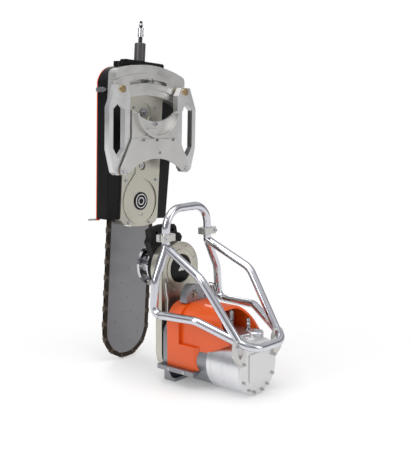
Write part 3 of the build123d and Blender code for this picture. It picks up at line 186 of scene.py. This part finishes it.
print("world of", len(sky.nodes), "nodes")


# %% Soft boxes: place, size and power of each, aimed at the machine's middle
def soft_box(name, place, target, size, watts):
    """Area light whose -Z axis points from its place to the target."""
    data = bpy.data.lights.new(name, "AREA")
    data.shape = "RECTANGLE"
    data.size, data.size_y = size
    data.energy = watts
    light = bpy.data.objects.new(name, data)
    SCENE.collection.objects.link(light)
    light.location = place
    light.rotation_euler = (Vector(target) - Vector(place)).to_track_quat("-Z", "Y").to_euler()
    print("light", name, watts, "W")


soft_box("overhead", (-0.5, -0.4, 2.6), (0.0, 0.0, 0.4), (1.8, 1.6), 30)
soft_box("front_left", (-2.6, 0.3, 1.7), (0.0, 0.0, 0.5), (0.9, 1.6), 24)
soft_box("front_right", (0.9, -2.8, 1.3), (0.0, 0.0, 0.4), (0.8, 1.4), 11)
soft_box("rim_behind", (1.6, 2.2, 1.6), (0.0, 0.2, 0.5), (1.2, 1.2), 12)

# %% Floor: white card that runs out into the white of the tent
REACH = 14.0                  # metres from the middle to an edge
BELOW_SOLE = 0.0002           # keeps the card clear of the sole that stands on it
WHITE_FROM, WHITE_AT = 0.10, 1.0   # distance from the middle over which the card fades to white
NEAR_GLOW = 0.22              # share of white under the machine, where the shadow has to show
corners = np.array([(-1, -1, 0), (1, -1, 0), (1, 1, 0), (-1, 1, 0)]) * REACH
floor_mesh = bpy.data.meshes.new("studio_floor")
floor_mesh.from_pydata(corners.tolist(), [], [(0, 1, 2, 3)])
floor = bpy.data.objects.new("studio_floor", floor_mesh)
SCENE.collection.objects.link(floor)
floor.location.z = -BELOW_SOLE
card, card_tree, card_shader, card_place = begin("white_card")
card_shader.inputs["Base Color"].default_value = linear("#FAFAFA")
card_shader.inputs["Roughness"].default_value = 0.7
far = add(card_tree, "ShaderNodeVectorMath", {"operation": "LENGTH"}, _0=card_place).outputs["Value"]
fade = add(card_tree, "ShaderNodeMapRange", {"interpolation_type": "SMOOTHSTEP"}, _0=far,
           _1=WHITE_FROM, _2=WHITE_AT, _3=NEAR_GLOW).outputs[0]
glow = add(card_tree, "ShaderNodeEmission", Color=linear("#FFFFFF"), Strength=1.0).outputs[0]
card_mix = add(card_tree, "ShaderNodeMixShader", _0=fade, _1=card_shader.outputs[0], _2=glow)
card_tree.links.new(card_mix.outputs[0], card_tree.nodes["Material Output"].inputs["Surface"])
floor_mesh.materials.append(card)
print("floor", 2 * REACH, "metres across")

# %% [markdown]
# ## Finishes
# Each finish starts from what the real surface is and how it was made: drawn and polished tube,
# blasted and anodised plate, die castings, powder coat, ground and oiled steel. Two sizes of
# noise do the work. The fine one is the grain, for the bump. The broad one changes the gloss over
# a few centimetres on metal and a hand's width on paint, because no surface is rubbed equally.


# %% Metals that are blasted, brushed, turned or polished
RUBBED_MM = 40.0              # size of the patches that are rubbed more or less
GRAIN_DEPTH = 0.0005          # metres
WORN_TINT = 0.88              # brightness of the dullest patch


def metal(name, colour, roughness, grain_mm, bump, spread=0.08, stretch=(1.0, 1.0, 1.0)):
    """Bare metal: roughness = base +- spread, from grain / 2 + wear; the grain is the bump's height."""
    material, tree, shader, place = begin(name)
    shader.inputs["Metallic"].default_value = 1.0
    aligned = add(tree, "ShaderNodeMapping", _0=place, _3=stretch).outputs[0]
    grain = add(tree, "ShaderNodeTexNoise", Vector=aligned, Scale=1000 / grain_mm, Detail=3.0).outputs[0]
    wear = add(tree, "ShaderNodeTexNoise", Vector=place, Scale=1000 / RUBBED_MM, Detail=4.0).outputs[0]
    both = add(tree, "ShaderNodeMath", {"operation": "MULTIPLY_ADD"}, _0=grain, _1=0.5, _2=wear).outputs[0]
    gloss = add(tree, "ShaderNodeMapRange", _0=both, _1=0.45, _2=1.05,
                _3=roughness - spread, _4=roughness + spread)
    tree.links.new(gloss.outputs[0], shader.inputs["Roughness"])
    tint = add(tree, "ShaderNodeMix", {"data_type": "RGBA"}, _0=wear,
               _6=darker(colour, WORN_TINT), _7=linear(colour))
    tree.links.new(tint.outputs[2], shader.inputs["Base Color"])
    relief = add(tree, "ShaderNodeBump", Height=grain, Strength=bump, Distance=GRAIN_DEPTH)
    tree.links.new(relief.outputs[0], shader.inputs["Normal"])
    return material


# %% Paints and lacquers
PEEL_DEPTH = 0.0003           # metres
FADED_TINT = 0.82             # brightness of the most faded patch
FADED_PER_METRE = 9.0         # patches of faded paint in a metre
GLOSSIER, DULLER = 0.04, 0.05   # change of roughness from patch to patch
COAT_ROUGHNESS = 0.06         # clear lacquer over the paint


def paint(name, colour, roughness, peel_mm, bump, coat=0.0, shine=0.5):
    """Paint: broad noise fades the colour and dulls it a little; the fine noise is orange peel."""
    material, tree, shader, place = begin(name)
    peel = add(tree, "ShaderNodeTexNoise", Vector=place, Scale=1000 / peel_mm, Detail=2.0).outputs[0]
    broad = add(tree, "ShaderNodeTexNoise", Vector=place, Scale=FADED_PER_METRE, Detail=5.0).outputs[0]
    tint = add(tree, "ShaderNodeMix", {"data_type": "RGBA"}, _0=broad,
               _6=darker(colour, FADED_TINT), _7=linear(colour))
    tree.links.new(tint.outputs[2], shader.inputs["Base Color"])
    gloss = add(tree, "ShaderNodeMapRange", _0=broad, _1=0.3, _2=0.7,
                _3=roughness - GLOSSIER, _4=roughness + DULLER)
    tree.links.new(gloss.outputs[0], shader.inputs["Roughness"])
    relief = add(tree, "ShaderNodeBump", Height=peel, Strength=bump, Distance=PEEL_DEPTH)
    tree.links.new(relief.outputs[0], shader.inputs["Normal"])
    shader.inputs["Coat Weight"].default_value = coat
    shader.inputs["Specular IOR Level"].default_value = shine
    shader.inputs["Coat Roughness"].default_value = COAT_ROUGHNESS
    return material


# %% One finish for each of the record's material slots
finishes = {
    "orange_paint": paint("powder_coated_orange", "#E85804", 0.30, 2.5, 0.04, 0.35),
    "polished_tube": metal("polished_aluminium_tube", "#D6D7DE", 0.16, 0.8, 0.004, 0.03),
    "satin_aluminium": metal("blasted_anodised_aluminium", "#D2D1CE", 0.42, 0.7, 0.12),
    "champagne_casting": metal("champagne_anodised_casting", "#C9C6BA", 0.36, 0.9, 0.10),
    "light_plate": metal("silver_anodised_plate", "#DCDCDC", 0.38, 0.6, 0.08),
    "silver_paint": metal("turned_silver_case", "#E6E7EA", 0.30, 0.6, 0.02, 0.03),
    "grey_paint": metal("grey_cast_case", "#9A9CA0", 0.40, 0.9, 0.12),
    "black_cap": paint("black_lacquered_disc", "#060607", 0.18, 4.0, 0.02, 0.0, 0.15),
    "chrome_flange": metal("chromed_steel", "#D5D5D8", 0.10, 0.6, 0.02, 0.05),
    "steel": metal("turned_steel", "#B4B4B6", 0.28, 0.6, 0.06),
    "bar_steel": metal("ground_bar_steel", "#8B8A8D", 0.38, 0.5, 0.10, 0.08, (0.15, 1.0, 1.0)),
    "dark_steel": metal("oiled_chain_steel", "#3D352F", 0.42, 1.2, 0.3),
    "black_paint": paint("black_powder_coat", "#0C0C0E", 0.40, 1.6, 0.05, 0.0, 0.2),
    "orange_plate": paint("orange_edge_paint", "#E4561C", 0.35, 1.6, 0.06, 0.2),
    "brass": metal("turned_brass", "#CFB68C", 0.28, 0.6, 0.05),
    "zinc_screws": metal("zinc_plated_screws", "#C9CACC", 0.28, 0.6, 0.05),
    "copper_stack": metal("varnished_stator", "#8A6648", 0.45, 1.0, 0.1),
}


def dress(node, material):
    """Puts a finish on a CAD node, in place of the one it wears."""
    nodes[node].data.materials.clear()
    nodes[node].data.materials.append(material)


slots = {row["node"]: row["material_slot"] for row in frame["record"]["subparts"]}
bodies = frame["record"]["behaviour"]["bodies"]
body_of = {node: body for body, members in bodies.items() for node in members}
for node, slot in slots.items():
    dress(node, finishes[slot])
print("finishes", len(finishes), "nodes", len(slots))


# %% [markdown]
# ## Finishes that change along one piece
# Some parts are one piece but not one colour: the hose post is dark with a bright sleeve, the
# bearing cap has bright rings. A ramp with sharp steps, driven by a distance in the object's own
# coordinates, puts each colour where the machinist or painter did.


# %% Banded finishes
def banded(base, name, centre, weights, span, stops):
    """Copy of a finish whose colour follows d = |(p - centre) * weights| / span in sharp steps."""
    material = base.copy()
    material.name = name
    tree = material.node_tree
    shader = tree.nodes["Principled BSDF"]
    place = add(tree, "ShaderNodeTexCoord").outputs["Object"]
    offset = add(tree, "ShaderNodeVectorMath", {"operation": "SUBTRACT"}, _0=place, _1=centre).outputs[0]
    kept = add(tree, "ShaderNodeVectorMath", {"operation": "MULTIPLY"}, _0=offset, _1=weights).outputs[0]
    away = add(tree, "ShaderNodeVectorMath", {"operation": "LENGTH"}, _0=kept).outputs["Value"]
    share = add(tree, "ShaderNodeMath", {"operation": "DIVIDE"}, _0=away, _1=span).outputs[0]
    colour = filled(add(tree, "ShaderNodeValToRGB", _0=share), stops, True)
    tree.links.new(colour, shader.inputs["Base Color"])
    return material


ALONG_X, ALONG_Z, AROUND_Y = (1.0, 0.0, 0.0), (0.0, 0.0, 1.0), (1.0, 0.0, 1.0)
SPROCKET = (0.043481, 0.29, 0.528115)
CAP_R = 0.03                  # the rings are shares of this radius from the sprocket's axis
POST_TOP = 1.0402             # height where the grey post ends and the thin neck starts, in metres
NECK_TOP = 1.0588             # height where the neck ends and the ridged sleeve starts
NIPPLE_SPAN = 0.06
TAB_FROM = (0.1, 0.0, 0.0)    # the steel tab is what lies further left than 0.2 m from here
TAB_SPAN = 0.4
steel, black_paint = finishes["steel"], finishes["black_paint"]
bullseye = banded(black_paint, "black_cap_with_bright_rings", SPROCKET, AROUND_Y, CAP_R,
                  ((0.0, "#0B0B0D"), (0.31, "#D8D8DA"), (0.44, "#0B0B0D"), (0.68, "#E4E4E6"),
                   (0.79, "#0B0B0D"), (1.0, "#0B0B0D")))
post_grey = paint("dark_grey_post", "#3E3B3B", 0.34, 1.6, 0.06, 0.1)
hose_post = banded(post_grey, "post_and_black_neck", (0.0, 0.0, 0.0), ALONG_Z, POST_TOP * 2,
                   ((0.0, "#3E3B3B"), (0.5, "#101012"), (1.0, "#101012")))
nipple = banded(steel, "ridged_sleeve_and_dark_tips", (0.0, 0.0, NECK_TOP), ALONG_Z, NIPPLE_SPAN,
                ((0.0, "#D9D9DC"), (0.47, "#28282A"), (0.60, "#C8C8CC"), (0.72, "#202022"),
                 (1.0, "#202022")))
edge_plate = banded(finishes["orange_plate"], "orange_edge_and_steel_tab", TAB_FROM, ALONG_X, TAB_SPAN,
                    ((0.0, "#E4561C"), (0.4985, "#B9B9BC"), (1.0, "#B9B9BC")))
for node, material in (("bearing_cap", bullseye), ("hose_post", hose_post), ("hose_nipple", nipple),
                       ("guard_back", edge_plate), ("drive_sprocket", steel)):
    dress(node, material)
    print(node, "wears", material.name)

# %% [markdown]
# ## Rounded edges
# CAD edges are perfectly sharp, and real castings and plates never are: the thin bright line along
# an edge is what makes them look solid. Each such piece is copied, its loose triangles are joined
# and flat areas dissolved, and a Bevel modifier rounds every edge that turns by more than an angle.


# %% Softened copies
segment_grit = metal("sintered_diamond_segments", "#6B6157", 0.55, 0.9, 0.5)
SAME_POINT = 2e-6             # metres
SAME_PLANE = math.radians(0.4)


def softened(node, radius_mm, segments=2, material=None, angle=28.0):
    """Copy of a CAD node: doubles merged, coplanar faces dissolved, edges over the angle rounded."""
    mesh = nodes[node].data.copy()
    mesh.name = node + "_soft"
    work = bmesh.new()
    work.from_mesh(mesh)
    bmesh.ops.remove_doubles(work, verts=work.verts, dist=SAME_POINT)
    bmesh.ops.dissolve_limit(work, angle_limit=SAME_PLANE, verts=work.verts, edges=work.edges)
    work.to_mesh(mesh)
    work.free()
    if "custom_normal" in mesh.attributes:
        mesh.attributes.remove(mesh.attributes["custom_normal"])
    mesh.shade_smooth()
    mesh.set_sharp_from_angle(angle=math.radians(angle))
    piece = bpy.data.objects.new(node + "_soft", mesh)
    SCENE.collection.objects.link(piece)
    bevel = piece.modifiers.new("edge_radius", "BEVEL")
    bevel.width = radius_mm / 1000
    bevel.segments = segments
    bevel.limit_method = "ANGLE"
    bevel.angle_limit = math.radians(angle)
    bevel.use_clamp_overlap = True
    bevel.harden_normals = True
    mesh.materials.clear()
    mesh.materials.append(material or finishes[slots[node]])
    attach(piece, body_of[node])
    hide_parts(node)
    return piece


LARGE_EDGE_MM = 2.0           # from this radius on an edge gets a third facet
EDGES_MM = {
    "housing_cover": 5.0, "handle_left": 2.4, "handle_right": 2.4, "arc_band": 0.9, "front_frame": 1.6,
    "bracket_plate": 1.2, "cradle": 1.6, "gear_case": 1.4, "guard_shell": 2.0, "top_cap": 1.0,
    "arm_case": 1.6, "cap_hangers": 2.2, "hoop_clamps": 1.6, "socket_mount": 1.2, "latch_lever": 1.0,
    "shoe_plate": 1.2, "rail_jaw": 2.0, "rating_plate": 0.8, "guide_bar": 0.5, "gearbox": 1.2,
    "guard_holder": 1.8, "chain_cutters": 0.5,
}
for node, radius in EDGES_MM.items():
    grit = segment_grit if node == "chain_cutters" else None
    softened(node, radius, 3 if radius >= LARGE_EDGE_MM else 2, grit)
print("softened", len(EDGES_MM))

# %% [markdown]
# ## Tube frame
# The frame is drawn tube with pressed bends. A circle carried along straight runs and arcs gives
# it exactly. The ends are closed with half spheres whose centres lie on the other tube's axis, so
# a joint is filled as a weld fills it, and no cut end can show.


# %% Path of straight runs and arcs
def rounded_path(corners, radii, step=math.radians(5)):
    """Points of a line with arcs: at a corner of half angle h the arc starts r / tan(h) away, its
    centre lies r / sin(h) along the bisector, and it is sampled by turning from start to end."""
    corners = np.array(corners, float)
    parts = [corners[:1]]
    for before, corner, after, r in zip(corners[:-2], corners[1:-1], corners[2:], radii):
        u = (before - corner) / np.linalg.norm(before - corner)
        w = (after - corner) / np.linalg.norm(after - corner)
        half = 0.5 * math.acos(float(u @ w))
        bisector = (u + w) / np.linalg.norm(u + w)
        centre = corner + bisector * r / math.sin(half)
        start = corner + u * r / math.tan(half) - centre
        end = corner + w * r / math.tan(half) - centre
        turn = math.pi - 2 * half
        t = np.linspace(0, 1, max(3, int(turn / step) + 2))[:, None]
        parts.append(centre + (np.sin((1 - t) * turn) * start + np.sin(t * turn) * end) / math.sin(turn))
    parts.append(corners[-1:])
    return np.vstack(parts)


# %% Round bar or tube along a path
def grid_mesh(name, surface):
    """Mesh of an (n, m, 3) array of points: quads between neighbours, joined round the second way;
    the points of a pole fall together and are merged."""
    n, m = surface.shape[:2]
    here = np.arange(n * m).reshape(n, m)
    ahead = np.roll(here, -1, axis=1)
    quads = np.stack([here[:-1], here[1:], ahead[1:], ahead[:-1]], axis=-1).reshape(-1, 4)
    mesh = bpy.data.meshes.new(name)
    mesh.from_pydata(surface.reshape(-1, 3).tolist(), [], quads.tolist())
    work = bmesh.new()
    work.from_mesh(mesh)
    bmesh.ops.remove_doubles(work, verts=work.verts, dist=1e-7)
    bmesh.ops.recalc_face_normals(work, faces=work.faces)
    work.to_mesh(mesh)
    work.free()
    return mesh


DOME_RINGS = 7                # circles from the pole of a half sphere to its rim


def round_bar(name, path, radius, reference, sides=28):
    """Surface p(s, a) = c(s) + r(s) (cos a n + sin a b), n = t x reference, b = t x n; the radius
    falls to nothing over a half sphere at each end."""
    path = np.asarray(path, float)
    tangent = np.gradient(path, axis=0)
    tangent /= np.linalg.norm(tangent, axis=1)[:, None]
    angle = np.linspace(0, math.pi / 2, DOME_RINGS)
    ends_along = radius * np.cos(angle)
    ends_radius = radius * np.sin(angle)
    centres = np.vstack([path[0] - tangent[0] * ends_along[:, None], path[1:-1],
                         path[-1] + tangent[-1] * ends_along[::-1, None]])
    radii = np.concatenate([ends_radius, np.full(len(path) - 2, radius), ends_radius[::-1]])
    along = np.vstack([np.repeat(tangent[:1], DOME_RINGS, axis=0), tangent[1:-1],
                       np.repeat(tangent[-1:], DOME_RINGS, axis=0)])
    normal = np.cross(along, reference)
    normal /= np.linalg.norm(normal, axis=1)[:, None]
    binormal = np.cross(along, normal)
    around = np.linspace(0, 2 * math.pi, sides, endpoint=False)
    ring = (np.cos(around)[None, :, None] * normal[:, None]
            + np.sin(around)[None, :, None] * binormal[:, None])
    mesh = grid_mesh(name, (centres[:, None] + radii[:, None, None] * ring) / 1000)
    mesh.shade_smooth()
    return mesh


def piece_of(mesh, body, slot, material=None, replaced=()):
    """Puts a finished mesh in the scene as a piece of a body, with its finish."""
    piece = bpy.data.objects.new(mesh.name, mesh)
    SCENE.collection.objects.link(piece)
    mesh.materials.append(material or finishes[slot])
    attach(piece, body)
    if replaced:
        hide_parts(*replaced)
    return piece


# %% The four tubes, in millimetres
TUBE_R = 12.5
BRACE_R = TUBE_R - 0.1        # a hair thinner, so that two skins never share one surface
HOOP_TOP, JUNCTION, KNEE, CORNER = (94, 0, 533), (94, 0, 421), (141, 0, 328), (148.6, 0, 225)
SIDE_BEND, RING_FRONT = (135.7, -155, 227), (75, -320, 158)
BRACE_KNEE, BRACE_FOOT = (112.6, -156.7, 345.7), (90.5, -279, 175)
FORWARD = np.array(SIDE_BEND, float) - CORNER
STUB = 45.0                   # length of the straight between the leg's corner and the ring's end
RING_START = tuple(CORNER + STUB * FORWARD / np.linalg.norm(FORWARD))
HOOP_BENDS = [24, 70, 70, 62, 62, 70, 70, 24]
RING_BENDS = [42, 60, 60, 42]
BRACE_BEND = [70]
MIRROR = np.array([-1.0, 1.0, 1.0])


def both_sides(right_half):
    """Corner points from the left end over the middle to the right end."""
    points = np.array(right_half, float)
    return np.vstack([(points * MIRROR)[::-1], points])


hoop = rounded_path(both_sides([HOOP_TOP, JUNCTION, KNEE, CORNER, RING_START]), HOOP_BENDS)
ring = rounded_path(both_sides([RING_FRONT, SIDE_BEND, RING_START]), RING_BENDS)
piece_of(round_bar("hoop_tube", hoop, TUBE_R, (0, 1, 0)), "drive_unit", "polished_tube", None,
         ("frame_hoop",))
piece_of(round_bar("ring_tube", ring, TUBE_R, (0, 0, 1)), "drive_unit", "polished_tube", None,
         ("frame_ring",))
brace = np.array([JUNCTION, BRACE_KNEE, BRACE_FOOT], float)
for side, node in ((-1, "frame_brace_left"), (1, "frame_brace_right")):
    path = rounded_path(brace * np.array([side, 1, 1]), BRACE_BEND)
    piece_of(round_bar(node.replace("frame_", "") + "_tube", path, BRACE_R, (1, 0, 0)), "drive_unit",
             "polished_tube", None, (node,))
print("tubes", len(hoop), "and", len(ring), "points along hoop and ring")

# %% [markdown]
# ## Small details
# The eye counts small things: the pipe that brings water to the arm, the rivets of the guide bar,
# the three light blades on the hub cap and the dark V on the latch lever. Round ones are a
# profile turned about an axis; the rest are grids of points, as the tubes are.


# %% Water pipe on the arm and round-headed rivets
PIPE_R = 2.9
PIPE_CORNERS = [(-70, 27.3, 302), (-66, 27.3, 272), (-60, 27.3, 250), (-62, 27.3, 192)]
PIPE_BENDS = [14, 30]
water_pipe = rounded_path(PIPE_CORNERS, PIPE_BENDS)
piece_of(round_bar("water_pipe", water_pipe, PIPE_R, (0, 1, 0), 16), "arm", "light_plate")
print("water pipe of", len(water_pipe), "points")


def lathe(name, profile, centre, axis, side, sides=24):
    """Turned piece: p(i, a) = centre + h(i) axis + r(i) (cos a side + sin a axis x side), in mm."""
    axis, side = np.array(axis, float), np.array(side, float)
    other = np.cross(axis, side)
    r, h = np.array(profile, float).T
    a = np.linspace(0, 2 * math.pi, sides, endpoint=False)
    turned = np.cos(a)[None, :, None] * side + np.sin(a)[None, :, None] * other
    surface = np.array(centre, float) + h[:, None, None] * axis + r[:, None, None] * turned
    mesh = grid_mesh(name, surface / 1000)
    mesh.shade_smooth()
    return mesh


def joined(name, meshes):
    """One mesh from several, in their order."""
    work = bmesh.new()
    for mesh in meshes:
        work.from_mesh(mesh)
        bpy.data.meshes.remove(mesh)
    whole = bpy.data.meshes.new(name)
    work.to_mesh(whole)
    work.free()
    whole.shade_smooth()
    return whole


LEAN = math.radians(4.7)
NOSE = np.array([8.6, 0.0, 103.85])


def on_head(u, v, y):
    """Point of the head: u across and v up along the bar, from the nose wheel's centre, in mm."""
    return NOSE + (u * math.cos(LEAN) + v * math.sin(LEAN), y, v * math.cos(LEAN) - u * math.sin(LEAN))


# radius and height of a rivet head's profile, from its crown over the rim to its underside
BUTTON = ((0.0, 1.1), (1.6, 1.0), (2.9, 0.7), (3.8, 0.0), (3.8, -0.6), (0.0, -0.6))
BAR_FRONT = 287.0
RIVET_RING_R = 55.0
BODY_RIVETS = ((0, 100), (-30, 150), (30, 150), (0, 200))
rivet_angles = np.radians(np.arange(0, 360, 45) + 22.5)
rivet_places = [on_head(RIVET_RING_R * math.cos(a), RIVET_RING_R * math.sin(a), BAR_FRONT)
                for a in rivet_angles]
rivet_places += [on_head(u, v, BAR_FRONT) for u, v in BODY_RIVETS]
rivets = joined("bar_rivets", [lathe("rivet", BUTTON, place, (0, -1, 0), (1, 0, 0), 16)
                               for place in rivet_places])
piece_of(rivets, "chain_head", "bar_steel")
print("rivets", len(rivet_places))

# %% Trefoil on the hub cap: a flat plate whose rim is r = 9 + 3.6 cos(3a + 90 degrees), in mm
BLADE_MEAN, BLADE_SWELL = 9.0, 3.6
HUB_Z = 338.5
# share of the rim's radius and depth of each layer, from the middle of the face to that of the back
TREFOIL_LAYERS = ((0.0, -0.9), (0.9, -0.9), (1.0, -0.5), (1.0, 0.4), (0.0, 0.4))
a = np.linspace(0, 2 * math.pi, 72, endpoint=False)
rim = BLADE_MEAN + BLADE_SWELL * np.cos(3 * a + math.pi / 2)
outline = np.stack([rim * np.cos(a), np.zeros_like(a), rim * np.sin(a)], axis=1)
hub = np.array([0.0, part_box("hub_cap")[0][1] * 1000, HUB_Z])
share, depth = np.array(TREFOIL_LAYERS).T
surface = hub + share[:, None, None] * outline + depth[:, None, None] * np.array([0.0, 1.0, 0.0])
trefoil = grid_mesh("hub_trefoil", surface / 1000)
piece_of(trefoil, "arm", "light_plate")
print("trefoil faces", len(trefoil.polygons))

# %% Two dark stripes on the latch lever, which open like a V
STRIPE_R = 1.6
FOOT_APART, HEAD_APART = 3.0, 11.0   # from the lever's middle, in mm
FOOT_UP, HEAD_DOWN, PROUD = 20, 5, 0.2
lever_low, lever_high = [np.array(corner) * 1000 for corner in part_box("latch_lever")]
lever_x = (lever_low[0] + lever_high[0]) / 2
for side in (-1, 1):
    foot = np.array([lever_x + side * FOOT_APART, lever_low[1] - PROUD, lever_low[2] + FOOT_UP])
    head = np.array([lever_x + side * HEAD_APART, lever_low[1] - PROUD, lever_high[2] - HEAD_DOWN])
    name = "lever_stripe_left" if side < 0 else "lever_stripe_right"
    stripe = round_bar(name, np.linspace(foot, head, 4), STRIPE_R, (0, 1, 0), 12)
    piece_of(stripe, "lever_body", "steel", black_paint)
    print(name, len(stripe.polygons), "faces")
